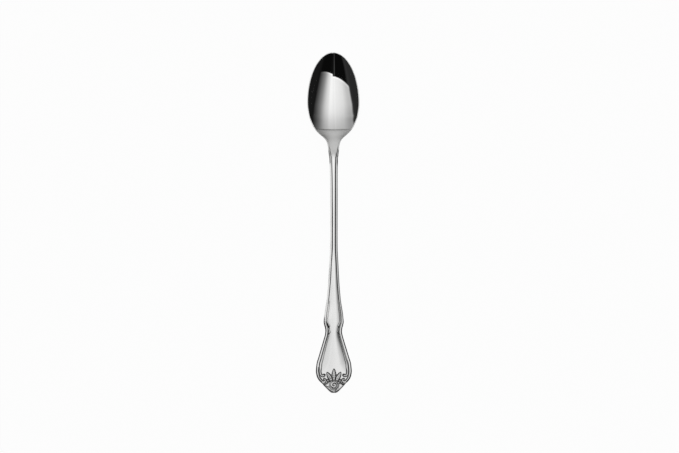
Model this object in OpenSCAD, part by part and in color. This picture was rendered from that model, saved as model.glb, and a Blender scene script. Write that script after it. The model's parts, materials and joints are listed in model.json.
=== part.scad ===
// Iced tea spoon: a long slender spoon struck from one blank of stainless steel.
// Frame: +Y runs from the handle's tip to the bowl's tip, +Z is up out of the bowl,
// and the spoon rests on z = 0 on its bowl and on the back of its handle.
// Stations are distances from the bowl's tip along the length, and sizes are in millimetres.

/* [Bowl] */
// Length of the bowl, from its tip to where it joins the neck
bowl_length = 46; // [41:0.5:52]
// Greatest width of the bowl
bowl_width = 29.2; // [24:0.1:34]
// Distance from the bowl's tip to its widest place
bowl_front = 28.3; // [23:0.1:33]
// Depth of the hollow below the rim at the bowl's widest place
bowl_depth = 6.8; // [5.5:0.1:8]
// Steel under the deepest place of the hollow
bowl_floor = 1.3; // [1:0.05:1.8]
// Width of the rounded rim
rim_width = 0.5; // [0.4:0.05:0.8]
// Height of the crest of the rim above the edge of the blank
rim_height = 0.2; // [0.1:0.02:0.3]
// How far the rim falls from the widest place to the tip
tip_drop = 0.8; // [0.5:0.1:1.6]

/* [Neck] */
// Length of the neck, from the bowl to the shank
neck_length = 14; // [12:0.5:17]
// Width of the neck
neck_width = 6.1; // [5.2:0.1:7]
// Thickness of the neck behind the heel of the bowl
neck_thickness = 3.4; // [2.6:0.1:4.2]
// How far the neck's edges stand above the rim at the widest place
neck_rise = 1.6; // [1:0.1:3]
// Length of the collar of small lobes at the end of the neck
collar_length = 6; // [5:0.5:7]

/* [Shank] */
// Length of the shank, from the neck to the shoulder
shank_length = 78; // [60:1:96]
// Width of the shank at its slimmest place
shank_width = 4.1; // [3.6:0.1:4.6]
// Width of the shank where it leaves the neck
shank_head_width = 4.7; // [4.3:0.1:5.2]
// Thickness of the shank, without its threads
shank_thickness = 2.6; // [2:0.1:3.4]
// Height of the shank's arch above the neck's edges
arch_rise = 1; // [0.5:0.1:4]

/* [Handle] */
// Length of the shoulder, from the shank to the waist
shoulder_length = 17.5; // [15:0.5:20]
// Width of the shoulder where the shank ends
flare_width = 7.9; // [7:0.1:8.8]
// Greatest width of the shoulder
shoulder_width = 11.2; // [10:0.1:12.5]
// Width of the waist
waist_width = 9.3; // [8.5:0.1:10]
// Length of the panel, from the waist to the terminal
panel_length = 20; // [17:0.5:24]
// Greatest width of the handle
handle_width = 20.1; // [19:0.1:22]
// Thickness of the handle at its edges, without its threads
handle_edge = 1.4; // [1.1:0.05:1.8]
// How far the back of the handle swells below its edges
handle_swell = 0.5; // [0.3:0.05:0.8]
// How far the panel swells above its edges
panel_crown = 1.3; // [0.6:0.05:1.5]

/* [Threads] */
// Width of the outer thread along the shank and the shoulder
thread_width = 0.95; // [0.8:0.05:1.15]
// Width of the outer thread where it reaches the terminal
thread_end_width = 1.5; // [1.3:0.05:1.6]
// Height of the threads
thread_height = 0.3; // [0.2:0.02:0.5]
// Width of the inner thread in the shoulder
inner_thread_width = 0.85; // [0.6:0.05:1]
// Width of the inner thread where it reaches the terminal
inner_end_width = 1.1; // [0.9:0.05:1.2]
// Width of the groove beside each thread
groove_width = 0.36; // [0.2:0.02:0.4]
// Depth of the grooves
groove_depth = 0.14; // [0.08:0.02:0.3]
// How far the lobes at the waist reach inwards beyond the outer thread
lobe_reach = 1.4; // [1:0.1:1.8]

/* [Terminal] */
// Length of the terminal, from the panel to the handle's tip
terminal_length = 14.5; // [14:0.1:15.5]
// Width across the blunt end of the tip
tip_width = 2; // [1:0.1:2.6]
// How far the terminal turns up along its length
tip_rise = 1; // [0.5:0.1:1.8]
// Height of the leaves and scrolls
relief_height = 0.5; // [0.3:0.05:0.7]
// Length of the middle leaf
leaf_length = 5.7; // [4.6:0.1:6.2]
// Share of the room between the middle lines of two leaves that a leaf's width takes
leaf_fill = 0.88; // [0.7:0.02:0.94]
// Clearance between the outermost leaves and the hooks of the inner threads
leaf_clearance = 0.5; // [0.3:0.05:1]
// Radius of the hook at the end of the inner thread
hook_radius = 1.4; // [1.1:0.05:1.6]
// Radius at which the outer thread starts to curl in
curl_radius = 1.27; // [1.15:0.01:1.4]

/* [Rosette] */
// Width of the rosette
rosette_width = 10.5; // [9:0.1:10.6]
// Distance from the middle of the rosette to the handle's tip
rosette_inset = 4.3; // [4.2:0.05:4.6]
// Distance from the middle of the rosette to its edge towards the bowl
rosette_reach = 3.1; // [2.6:0.1:3.3]
// Height of the rosette above its seat
rosette_height = 0.85; // [0.6:0.05:1.2]
// Radius of the rosette's rolled heart
heart_radius = 2.2; // [1.8:0.05:2.4]
// Number of petals in the outer ring of the rosette
petal_count = 4; // [4:1:7]

/* [Hidden] */

steel = [0.78, 0.78, 0.77];

// Stations where one zone of the blank ends and the next begins.
bowl_end = bowl_length;
neck_end = bowl_end + neck_length;
collar_start = neck_end - collar_length;
shank_end = neck_end + shank_length;
waist = shank_end + shoulder_length;
panel_end = waist + panel_length;
overall_length = panel_end + terminal_length;

// The flats that the spoon rests on are cut this deep into the bowl and the back of the handle.
rest_flat_depth = 0.1;
// Curve across the bowl, and across the back of the shank and handle: 1 is a parabola, and
// 0.5 half an ellipse.
bowl_power = 1;
shank_power = 0.75;
// The hollow's deepest place lies towards the tip from its widest one. This says how far, and the
// peak is the depth there as a share of the depth at the widest place.
hollow_lead = 0.54;
lead_place = (sqrt(1 + 3 * pow(hollow_lead, 2)) - 1) / (3 * hollow_lead);
hollow_peak = (1 - pow(lead_place, 2)) * (1 + hollow_lead * lead_place);
// Height of the bare wall at the rim.
rim_wall = 0.45;
// Angle from the tip at which the first section of the bowl stands.
tip_angle = 2.5;

// Numbers of sections along each zone, and of points across them.
front_sections = 18;
rear_sections = 8;
heel_sections = 2;
neck_sections = 6;
collar_sections = 11;
shank_sections = 20;
shoulder_sections = 10;
lobe_sections = 16;
panel_sections = 14;
terminal_sections = 26;
thread_sections = 13;
curl_sections = 12;
leaf_sections = 8;
bowl_points = 24;
crown_points = 8;
back_points = 10;
rosette_points = 60;

// Heights of the blank's edges above the table.
bowl_swell = bowl_depth + bowl_floor - rim_wall;
rim_z = bowl_swell * hollow_peak + rim_wall - rest_flat_depth;
neck_z = rim_z + neck_rise;
arch_z = neck_z + arch_rise;
handle_z = handle_edge + handle_swell - rest_flat_depth;

// A smooth curve through knots of [station, value], which never overshoots them.
function secant(k, i) = (k[i + 1][1] - k[i][1]) / (k[i + 1][0] - k[i][0]);
function blend_slope(a, b) = a * b <= 0 ? 0 : 2 * a * b / (a + b);
function slope_at(k, i) =
    i == 0 ? 0 :
    i == len(k) - 1 ? secant(k, i - 1) :
    blend_slope(secant(k, i - 1), secant(k, i));
function span_of(k, x, i = 0) = i >= len(k) - 2 || x <= k[i + 1][0] ? i : span_of(k, x, i + 1);
function on_span(k, x, i) =
    let (width = k[i + 1][0] - k[i][0], t = (x - k[i][0]) / width)
    (1 + 2 * t) * (1 - t) * (1 - t) * k[i][1] + t * (1 - t) * (1 - t) * width * slope_at(k, i)
    + t * t * (3 - 2 * t) * k[i + 1][1] - t * t * (1 - t) * width * slope_at(k, i + 1);
function curve(k, x) = x <= k[0][0] ? k[0][1] : on_span(k, x, span_of(k, x));

function ramp(x, from, to) = let (t = min(1, max(0, (x - from) / (to - from)))) t * t * (3 - 2 * t);
function mix(a, b, t) = a + (b - a) * t;
function dome(t) = sqrt(max(0, 1 - t * t));
function hump(t, power) = pow(max(0, 1 - t * t), power);
function reversed(v) = [for (i = [len(v) - 1:-1:0]) v[i]];
function stations(from, to, steps) = [for (i = [0:steps]) mix(from, to, i / steps)];
function stations_after(from, to, steps) = [for (i = [1:steps]) mix(from, to, i / steps)];

// Outline, as shares of each zone's length and of the widths at its ends.
oval_shares = [[0.4, 0.938], [0.62, 0.843], [0.8, 0.73], [0.9, 0.632], [1, 0.503]];
throat_shares = [[0.107, 0.386], [0.229, 0.286], [0.35, 0.238]];
neck_shares = [[0.47, 1.03], [0.586, 0.974], [0.707, 0.93], [0.83, 0.862], [0.93, 0.78]];
shank_shares = [[0.05, 0.6], [0.13, 0.25], [0.3, 0.06], [0.54, 0]];
flare_shares = [[0.62, 0.02], [0.69, 0.13], [0.75, 0.28], [0.82, 0.42], [0.88, 0.56], [0.96, 0.84]];
shoulder_shares = [[0.23, 0.385], [0.43, 0.72], [0.61, 0.93], [0.71, 1]];
waist_shares = [[0.81, 0.68], [0.905, 0.2]];
panel_shares = [[0.085, 0.035], [0.25, 0.2], [0.5, 0.475], [0.755, 0.76], [0.9, 0.92], [1, 0.967]];
terminal_shares = [[0.17, 1], [0.29, 0.978], [0.407, 0.93], [0.524, 0.83], [0.634, 0.672],
    [0.752, 0.52], [0.869, 0.358], [0.952, 0.235], [0.986, 0.16]];

function zone_knots(shares, from, to, low, high) = [
    for (p = shares) [mix(from, to, p[0]), mix(low, high, p[1]) / 2]
];
outline = concat(
    [[bowl_front, bowl_width / 2]],
    zone_knots(oval_shares, bowl_front, bowl_end, 0, bowl_width),
    zone_knots(throat_shares, bowl_end, neck_end, 0, bowl_width),
    zone_knots(neck_shares, bowl_end, neck_end, 0, neck_width),
    [[neck_end, shank_head_width / 2]],
    zone_knots(shank_shares, neck_end, shank_end, shank_width, shank_head_width),
    zone_knots(flare_shares, neck_end, shank_end, shank_width, flare_width),
    [[shank_end, flare_width / 2]],
    zone_knots(shoulder_shares, shank_end, waist, flare_width, shoulder_width),
    zone_knots(waist_shares, shank_end, waist, waist_width, shoulder_width),
    [[waist, waist_width / 2]],
    zone_knots(panel_shares, waist, panel_end, waist_width, handle_width),
    zone_knots(terminal_shares, panel_end, overall_length, 0, handle_width),
    [[overall_length, tip_width / 2]]
);
function half_width(s) = curve(outline, s);

// How fast the half width grows along the spoon, and how much wider a band along the edge
// measures across the spoon than square to the edge.
slope_step = 0.1;
function edge_slope(s) = (half_width(s + slope_step) - half_width(s - slope_step)) / (2 * slope_step);
function slant(s) = sqrt(1 + pow(edge_slope(s), 2));

// Side view: the height of the blank's upper edge. The terminal's face is one sloping plane.
rest_station = mix(waist, panel_end, 0.3);
ease_station = mix(waist, panel_end, 0.94);
terminal_slope = tip_rise / terminal_length;
ease_z = handle_z + terminal_slope * (ease_station - rest_station) / 2;
panel_end_z = ease_z + terminal_slope * (panel_end - ease_station);
side_view = [
    [0, rim_z - tip_drop],
    [bowl_front, rim_z],
    [bowl_end, mix(rim_z, neck_z, 0.5)],
    [neck_end, mix(neck_z, arch_z, 0.28)],
    [mix(neck_end, shank_end, 0.2), arch_z],
    [mix(neck_end, shank_end, 0.5), mix(handle_z, arch_z, 0.79)],
    [shank_end, mix(handle_z, arch_z, 0.29)],
    [waist, mix(handle_z, arch_z, 0.05)],
    [rest_station, handle_z],
    [ease_station, ease_z],
    [panel_end, panel_end_z]
];
function edge_z(s) = s >= panel_end ? panel_end_z + terminal_slope * (s - panel_end) : curve(side_view, s);

// Depth of the hollow along the middle behind the widest place, as shares of the bowl's depth.
// It ends in a crease at the heel, and a shallow dish runs on from there into the neck.
heel_start = mix(bowl_front, bowl_end, 0.8);
heel_end = mix(bowl_front, bowl_end, 0.855);
hollow_end = mix(bowl_end, neck_end, 0.65);
heel_share = 0.4;
dish_shares = [[0, 0.3], [0.25, 0.19], [0.58, 0.06], [1, 0]];
dish_curve = concat(
    [[heel_start, bowl_depth * heel_share]],
    [for (p = dish_shares) [mix(heel_end, hollow_end, p[0]), bowl_depth * p[1]]]
);
fall_share = hollow_lead * (heel_start - bowl_front) / bowl_front;
function hollow(s) =
    let (t = (s - bowl_front) / (heel_start - bowl_front))
    s >= hollow_end ? 0 :
    s >= heel_start ? curve(dish_curve, s) :
    bowl_depth * (1 - fall_share * t - (1 - heel_share - fall_share) * t * t);

// Bare wall at the edges, and how far the back swells below it along the middle.
neck_wall = neck_thickness * 0.45;
shank_wall = shank_thickness * 0.45;
wall_curve = [
    [bowl_front, rim_wall],
    [bowl_end, mix(rim_wall, neck_wall, 0.5)],
    [mix(bowl_end, neck_end, 0.5), neck_wall],
    [mix(neck_end, shank_end, 0.15), shank_wall],
    [mix(neck_end, shank_end, 0.7), shank_wall],
    [shank_end, handle_edge],
    [overall_length, handle_edge]
];
swell_curve = [
    [bowl_front, bowl_swell],
    [mix(bowl_front, bowl_end, 0.2), bowl_swell * 0.945],
    [mix(bowl_front, bowl_end, 0.4), bowl_swell * 0.83],
    [mix(bowl_front, bowl_end, 0.6), bowl_swell * 0.68],
    [mix(bowl_front, bowl_end, 0.8), bowl_swell * 0.51],
    [mix(bowl_end, neck_end, 0.12), mix(neck_thickness - neck_wall, bowl_swell, 0.16)],
    [mix(bowl_end, neck_end, 0.5), neck_thickness - neck_wall],
    [mix(neck_end, shank_end, 0.15), shank_thickness - shank_wall],
    [mix(neck_end, shank_end, 0.7), shank_thickness - shank_wall],
    [waist, handle_swell],
    [overall_length, handle_swell]
];
function wall(s) = curve(wall_curve, s);
function swell(s) = curve(swell_curve, s);
function back_power(s) = mix(bowl_power, shank_power, ramp(s, bowl_end, neck_end));
function back_z(s, across) = edge_z(s) - wall(s) - swell(s) * hump(across, back_power(s));

// The outer thread grows out of the rim in two small lobes at the collar. The inner thread
// starts in the shoulder, breaks into two pointed lobes at the waist, and starts again below.
inner_start = mix(shank_end, waist, 0.15);
first_lobe = mix(shank_end, waist, 0.82);
lobe_gap = mix(shank_end, waist, 0.905);
second_lobe = mix(waist, panel_end, 0.02);
lobe_end = mix(waist, panel_end, 0.1);
height_curve = [
    [bowl_end, rim_height],
    [collar_start, rim_height * 0.4],
    [mix(collar_start, neck_end, 0.2), thread_height],
    [mix(collar_start, neck_end, 0.48), thread_height],
    [mix(collar_start, neck_end, 0.62), thread_height * 0.2],
    [mix(collar_start, neck_end, 0.76), thread_height],
    [overall_length, thread_height]
];
outer_curve = [
    [bowl_end, rim_width],
    [neck_end, thread_width],
    [mix(waist, panel_end, 0.4), thread_width],
    [panel_end, thread_end_width]
];
inner_curve = [
    [shank_end, groove_width],
    [mix(shank_end, waist, 0.3), inner_thread_width],
    [mix(shank_end, waist, 0.66), inner_thread_width],
    [first_lobe, lobe_reach],
    [lobe_gap, lobe_reach * 0.3],
    [second_lobe, lobe_reach * 0.85],
    [lobe_end, groove_width * 2],
    [mix(waist, panel_end, 0.3), inner_thread_width * 0.7],
    [panel_end, inner_end_width]
];
function thread_rise(s) = curve(height_curve, s);
function outer_band(s) = curve(outer_curve, min(s, panel_end));
function inner_band(s) = curve(inner_curve, min(s, panel_end));
function inner_rise(s) = thread_height * ramp(s, shank_end, inner_start);
function groove(s) =
    groove_depth * ramp(s, mix(bowl_end, collar_start, 0.7), mix(collar_start, neck_end, 0.1));
function inner_groove(s) = groove_depth * ramp(s, shank_end, inner_start);

// No thread takes more than this share of a narrow section.
band_share = 0.74;
function bands(s, has_inner) = outer_band(s) + groove_width + (has_inner ? inner_band(s) + groove_width : 0);
function squeeze(s, has_inner) =
    min(slant(s), band_share * half_width(s) / bands(s, has_inner));
function inner_half(s, has_inner) = half_width(s) - bands(s, has_inner) * squeeze(s, has_inner);

// Crown between the outer threads: a rib on the shank, and a pillow on the handle, on which the
// inner threads and the lobes at the waist stand.
pillow_power = 2;
crown_curve = [
    [collar_start, 0],
    [mix(collar_start, neck_end, 0.5), thread_height],
    [mix(neck_end, shank_end, 0.7), thread_height],
    [mix(shank_end, waist, 0.6), panel_crown * 0.5],
    [mix(waist, panel_end, 0.25), panel_crown],
    [mix(waist, panel_end, 0.4), panel_crown * 0.95],
    [panel_end, 0]
];
function crown(s) = s <= collar_start ? 0 : curve(crown_curve, s);
function crown_half(s, has_inner) =
    half_width(s) - (outer_band(s) + groove_width) * squeeze(s, has_inner);
function pillow(s, x, has_inner) =
    crown(s) * (1 - pow(min(1, abs(x) / crown_half(s, has_inner)), pillow_power));

// Points along one side of a section, as [distance in from the edge, height above it].
thread_shares = [[0, 0], [0.22, 0.69], [0.5, 1], [0.78, 0.69], [1, 0]];
function side_points(s, has_inner) = concat(
    [for (p = thread_shares) [p[0] * outer_band(s), p[1] * thread_rise(s)]],
    [[outer_band(s) + groove_width / 2, -groove(s)]],
    has_inner ?
        concat(
            [for (p = thread_shares)
                [outer_band(s) + groove_width + p[0] * inner_band(s), p[1] * inner_rise(s)]],
            [[outer_band(s) + groove_width * 1.5 + inner_band(s), -inner_groove(s)]]
        ) :
        [],
    [[bands(s, has_inner), 0]]
);

// One closed section: across the face from left to right, then back across the underside.
function point(s, x, z) = [x, overall_length / 2 - s, max(0, z)];
function dip(s, x) =
    let (half = half_width(s) - rim_width * slant(s))
    hollow(s) * (abs(x) < half ? hump(x / half, bowl_power) : 0);
function face_side(s, has_inner, side) = [
    for (p = side_points(s, has_inner))
        let (x = side * (half_width(s) - p[0] * squeeze(s, has_inner)))
        point(s, x, edge_z(s) + p[1] + pillow(s, x, has_inner) - dip(s, x))
];
function face_middle(s, has_inner) = [
    for (i = [1:crown_points - 1])
        let (share = 2 * i / crown_points - 1, x = share * inner_half(s, has_inner))
        point(s, x, edge_z(s) + pillow(s, x, has_inner) - dip(s, x))
];
function face_row(s, has_inner) = concat(
    face_side(s, has_inner, -1),
    face_middle(s, has_inner),
    reversed(face_side(s, has_inner, 1))
);
function back_row(s, half, points) = [
    for (i = [0:points])
        let (across = -cos(180 * i / points))
        point(s, half * across, back_z(s, across))
];

// Rows of the bowl. In front of its widest place the rim turns with the oval.
function hollow_row(s, half, depth) = [
    for (i = [0:bowl_points])
        let (across = -cos(180 * i / bowl_points))
        point(s, half * across, edge_z(s) - depth * hump(across, bowl_power))
];
function bowl_back_row(s, half, depth) = [
    for (i = [0:bowl_points])
        let (across = -cos(180 * i / bowl_points))
        point(s, half * across, edge_z(s) - wall(s) - depth * hump(across, bowl_power))
];
function rim_crest(s, half, side) = point(s, side * half, edge_z(s) + rim_height);
function rim_edge(s, half, side) = point(s, side * half, edge_z(s));
function bowl_rows(s_out, half_out, s_in, half_in, depth_in, depth_out) =
    let (s_mid = (s_out + s_in) / 2, half_mid = (half_out + half_in) / 2)
    [
        concat(
            [rim_edge(s_out, half_out, -1), rim_crest(s_mid, half_mid, -1)],
            hollow_row(s_in, half_in, depth_in),
            [rim_crest(s_mid, half_mid, 1), rim_edge(s_out, half_out, 1)]
        ),
        bowl_back_row(s_out, half_out, depth_out)
    ];
function front_rows(angle) =
    let (depth_share = pow(sin(angle), 2 * bowl_power) * (1 + hollow_lead * cos(angle)))
    bowl_rows(
        bowl_front * (1 - cos(angle)), bowl_width / 2 * sin(angle),
        rim_width + (bowl_front - rim_width) * (1 - cos(angle)), (bowl_width / 2 - rim_width) * sin(angle),
        bowl_depth * depth_share, bowl_swell * depth_share);
function rear_rows(s) =
    bowl_rows(s, half_width(s), s, half_width(s) - rim_width * slant(s), hollow(s), swell(s));

// Triangles that fill the strip between two rows of points, both given by their indices.
// The rows run the same way, and the strip faces up where the first row lies behind.
function zip(pts, a, b, i = 0, j = 0) =
    i == len(a) - 1 && j == len(b) - 1 ? [] :
    j == len(b) - 1 || (i < len(a) - 1 && pts[a[i + 1]][0] <= pts[b[j + 1]][0]) ?
        concat([[a[i], a[i + 1], b[j]]], zip(pts, a, b, i + 1, j)) :
        concat([[a[i], b[j + 1], b[j]]], zip(pts, a, b, i, j + 1));
function indices(from, to) = [for (i = [from:to]) i];

// Skins pairs of rows: each pair is a face row and a back row that run from left to right.
// A first pair that carries the rim as its outer points has its face closed in strips.
module skin(pairs, has_rim = false) {
    face = len(pairs[0][0]);
    back = len(pairs[0][1]);
    count = face + back;
    last = len(pairs) - 1;
    points = [for (pair = pairs) each concat(pair[0], reversed(pair[1]))];
    sides = [
        for (j = [0:last - 1])
            for (i = [0:count - 1])
                let (a = j * count + i, b = j * count + (i + 1) % count)
                each [[a, b, b + count], [a, b + count, a + count]]
    ];
    first_back = reversed(indices(face, count - 1));
    last_face = indices(last * count, last * count + face - 1);
    last_back = reversed(indices(last * count + face, last * count + count - 1));
    first_end = has_rim ?
        concat(
            zip(points, first_back, [0, face - 1]),
            [[0, face - 1, 1], [1, face - 1, face - 2]],
            zip(points, [1, face - 2], indices(2, face - 3))
        ) :
        zip(points, first_back, indices(0, face - 1));
    polyhedron(points, concat(first_end, sides, zip(points, last_face, last_back)), convexity = 6);
}

// A stretch of the blank through the given stations.
module stretch(at, has_inner) {
    color(steel) skin([
        for (s = at) [face_row(s, has_inner), back_row(s, half_width(s), back_points)]
    ]);
}

module bowl() {
    fronts = [for (i = [0:front_sections]) front_rows(mix(tip_angle, 90, i / front_sections))];
    behind = concat(
        stations_after(bowl_front, heel_start, rear_sections),
        stations_after(heel_start, heel_end, heel_sections),
        stations_after(heel_end, bowl_end, heel_sections)
    );
    rears = [for (s = behind) rear_rows(s)];
    color(steel) skin(concat(fronts, rears), true);
}

module neck() {
    stretch(concat(
        stations(bowl_end, collar_start, neck_sections),
        stations_after(collar_start, neck_end, collar_sections)
    ), false);
}

module shank() {
    stretch(stations(neck_end, shank_end, shank_sections), false);
}

lobe_start = mix(shank_end, waist, 0.66);
module shoulder() {
    stretch(concat(
        stations(shank_end, lobe_start, shoulder_sections),
        stations_after(lobe_start, waist, lobe_sections)
    ), true);
}

module panel() {
    stretch(concat(
        stations(waist, lobe_end, lobe_sections / 4),
        stations_after(lobe_end, panel_end, panel_sections)
    ), true);
}

// The terminal's blank is a plate whose face is the seat of its ornament.
module terminal() {
    color(steel) skin([
        for (s = stations(panel_end, overall_length, terminal_sections))
            [
                [rim_edge(s, half_width(s), -1), rim_edge(s, half_width(s), 1)],
                back_row(s, half_width(s), back_points)
            ]
    ]);
}

// A place on the terminal's face: x across, s the station, and h the height above the face.
function on_seat(x, s, h) = [x, overall_length / 2 - s, edge_z(s) + h];

// Skins sections of raised ornament whose first and last points lie on the seat.
module ridge(sections, mirrored) {
    count = len(sections[0]);
    last = len(sections) - 1;
    sides = [
        for (j = [0:last - 1])
            for (i = [0:count - 1])
                let (a = j * count + i, b = j * count + (i + 1) % count)
                each [[a, b + count, b], [a, a + count, b + count]]
    ];
    ends = [
        for (i = [1:count - 2])
            each [[0, i, i + 1], [last * count, last * count + i + 1, last * count + i]]
    ];
    faces = concat(sides, ends);
    polyhedron(
        [for (part = sections) each part],
        mirrored ? [for (f = faces) reversed(f)] : faces,
        convexity = 6);
}

// A thread on the terminal follows the edge at a depth, and then curls round a centre on its
// inner side. Its sections stand across its path, and the first one stands in the zone's cut.
function inward(s) = [-1, edge_slope(s)] / slant(s);
function along_edge(s, depth) = [half_width(s), s] + depth * inward(s);
function turned(v, angle) =
    [v[0] * cos(angle) - v[1] * sin(angle), v[0] * sin(angle) + v[1] * cos(angle)];
ridge_shares = [[-1, 0], [-0.6, 0.64], [0, 1], [0.6, 0.64], [1, 0]];
function ridge_section(centre, across, width, height, side) = [
    for (p = ridge_shares)
        let (place = centre + across * p[0] * width / 2)
        on_seat(side * place[0], place[1], p[1] * height)
];
end_rounding = 0.1;
end_share = 0.15;
function end_size(t) =
    t < 1 - end_rounding ? 1 : mix(end_share, 1, dome((t - 1 + end_rounding) / end_rounding));

module curled_thread(depth, width, end_width, foot, from_radius, to_radius, turn, side) {
    centre = along_edge(foot, depth + from_radius);
    edge_part = [
        for (i = [0:thread_sections])
            let (s = mix(panel_end, foot, i / thread_sections))
            ridge_section(
                i == 0 ? [half_width(s) - depth * slant(s), s] : along_edge(s, depth),
                i == 0 ? [-slant(s), 0] : inward(s),
                width, thread_height, side)
    ];
    curl_part = [
        for (i = [1:curl_sections])
            let (t = i / curl_sections,
                out = turned(-inward(foot), turn * t),
                radius = mix(from_radius, to_radius, ramp(t, 0, 1)),
                size = end_size(t))
            ridge_section(
                centre + radius * out, -out,
                mix(width, end_width, ramp(t, 0, 1)) * size,
                mix(thread_height, relief_height, t) * size, side)
    ];
    ridge(concat(edge_part, curl_part), side < 0);
}

hook_foot = mix(panel_end, overall_length, 0.31);
hook_turn = 125;
hook_shrink = 0.8;
curl_foot = mix(panel_end, overall_length, 0.607);
curl_turn = 215;
curl_shrink = 0.48;
curl_width_share = 0.5;
hook_depth = thread_end_width + groove_width + inner_end_width / 2;
module scrolls() {
    color(steel)
    for (side = [-1, 1]) {
        curled_thread(
            hook_depth, inner_end_width, inner_end_width,
            hook_foot, hook_radius, hook_radius * hook_shrink, hook_turn, side);
        curled_thread(
            thread_end_width / 2, thread_end_width, thread_end_width * curl_width_share,
            curl_foot, curl_radius, curl_radius * curl_shrink, curl_turn, side);
    }
}

// Outline of the rosette: distance from its middle at an angle counted from +x towards the tip.
rosette_at = overall_length - rosette_inset;
rosette_margin = 0.15;
rosette_squareness = 1.35;
reach_blend = 0.35;
function rosette_edge(angle) =
    let (reach = mix(rosette_reach, rosette_inset - rosette_margin, ramp(sin(angle), -reach_blend, reach_blend)),
        across = abs(cos(angle)) / (rosette_width / 2),
        along = abs(sin(angle)) / reach)
    pow(pow(across, rosette_squareness) + pow(along, rosette_squareness), -1 / rosette_squareness);

// Leaves: each lies on a ray from the rosette's middle and starts just outside its edge. The
// side leaves fan out to the clearance from the hooks, and each leaf fills its share of the fan.
leaf_gap = 0.12;
side_leaf_share = 0.85;
hook_middle = along_edge(hook_foot, hook_depth + hook_radius);
hook_tip = hook_middle + hook_radius * hook_shrink * turned(-inward(hook_foot), hook_turn);
leaf_spread = hook_tip[0] - inner_end_width / 2 - leaf_clearance;
leaf_root = rosette_reach + leaf_gap;
side_leaf_turn = asin(leaf_spread / (leaf_root + leaf_length * side_leaf_share));
widest_share = 0.35;
leaf_half_shares = [[0, 0.6], [widest_share, 1], [0.75, 0.62], [1, 0.05]];
leaf_width = leaf_fill * 2 * sin(side_leaf_turn / 2) * (leaf_root + leaf_length * widest_share);
leaf_height_shares = [[0, 0.9], [0.4, 1], [1, 0.3]];
leaf_section_shares = [[-1, 0], [-0.62, 0.95], [0, 0.6], [0.62, 0.95], [1, 0]];
module leaf(turn, length, width) {
    ray = turned([0, -1], turn);
    across = turned([1, 0], turn);
    start = rosette_edge(turn - 90) + leaf_gap;
    ridge([
        for (i = [0:leaf_sections])
            let (t = i / leaf_sections,
                middle = [0, rosette_at] + (start + length * t) * ray,
                half = width / 2 * curve(leaf_half_shares, t),
                height = relief_height * curve(leaf_height_shares, t))
            [for (p = leaf_section_shares)
                let (place = middle + across * p[0] * half)
                on_seat(place[0], place[1], p[1] * height)]
    ], false);
}

small_leaf_turn = side_leaf_turn * 1.86;
small_leaf_share = 0.26;
small_leaf_width_share = 0.45;
module leaves() {
    color(steel) {
        leaf(0, leaf_length, leaf_width);
        for (side = [-1, 1]) {
            leaf(side * side_leaf_turn, leaf_length * side_leaf_share, leaf_width);
            leaf(side * small_leaf_turn, leaf_length * small_leaf_share, leaf_width * small_leaf_width_share);
        }
    }
}

// Rosette: a rolled heart in a ring-shaped dip, an inner round of petals, and an outer round that
// reaches its edge. Rings are counted as shares of the heart, and then of the way to the edge.
heart_shares = [0.1, 0.22, 0.34, 0.46, 0.58, 0.7, 0.82, 0.93];
petal_shares = [0.04, 0.16, 0.3, 0.5, 0.7, 0.84, 0.94, 1];
rings = len(heart_shares) + len(petal_shares);
heart_pitch_share = 0.61;
inner_petals = 3;
inner_phase = 78;
ring_shares = [[0, 0.3], [0.3, 0.76], [0.55, 0.5], [0.8, 0.76], [1, 0.2]];
petal_overlap = 0.1;
petal_gap_depth = 0.34;
petal_twist = 30;
petal_notch = 0.07;
gap_sharpness = 24;
function between(angle, count, phase) = pow(abs(cos(count * (angle - phase) / 2)), gap_sharpness / count);
function turn_share(angle, count, phase) = let (t = count * (angle - phase) / 360) t - floor(t) - 0.5;
function heart_z(share, angle) =
    let (wave = abs(sin(180 * share / heart_pitch_share - angle / 2)))
    mix(0.5, 1, pow(wave, 0.7) * ramp(share, 0, 0.15)) * mix(1, 0.5, ramp(share, 0.84, 1));
function petal_z(share, angle) =
    let (is_inner = share < ring_shares[2][0],
        count = is_inner ? inner_petals : petal_count,
        phase = petal_twist * (share - 1) + (is_inner ? inner_phase : 0))
    curve(ring_shares, share) + petal_overlap * turn_share(angle, count, phase) * (1 - share)
    - petal_gap_depth * between(angle, count, phase) * ramp(share, 0, 0.2) * (1 - ramp(share, 0.85, 1));
function rosette_place(i, angle) =
    let (edge = rosette_edge(angle) * (1 - petal_notch * between(angle, petal_count, 0)),
        in_heart = i < len(heart_shares),
        share = in_heart ? heart_shares[i] : petal_shares[i - len(heart_shares)],
        radius = in_heart ? heart_radius * share : mix(heart_radius, edge, share),
        high = in_heart ? heart_z(share, angle) : petal_z(share, angle))
    on_seat(radius * cos(angle), rosette_at + radius * sin(angle), rosette_height * high);
module rosette() {
    angles = [for (i = [0:rosette_points - 1]) 360 * i / rosette_points];
    points = concat(
        [on_seat(0, rosette_at, rosette_height / 2), on_seat(0, rosette_at, 0)],
        [for (i = [0:rings - 1]) for (a = angles) rosette_place(i, a)],
        [for (a = angles) let (p = rosette_place(rings - 1, a))
            on_seat(p[0], overall_length / 2 - p[1], 0)]
    );
    sides = [
        for (j = [0:rings - 1])
            for (i = [0:rosette_points - 1])
                let (a = 2 + j * rosette_points + i, b = 2 + j * rosette_points + (i + 1) % rosette_points)
                each [[a, b + rosette_points, b], [a, a + rosette_points, b + rosette_points]]
    ];
    caps = [
        for (i = [0:rosette_points - 1])
            let (k = (i + 1) % rosette_points, low = 2 + rings * rosette_points)
            each [[0, 2 + i, 2 + k], [1, low + k, low + i]]
    ];
    color(steel) polyhedron(points, concat(caps, sides), convexity = 6);
}

bowl();
neck();
shank();
shoulder();
panel();
terminal();
scrolls();
leaves();
rosette();
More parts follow.
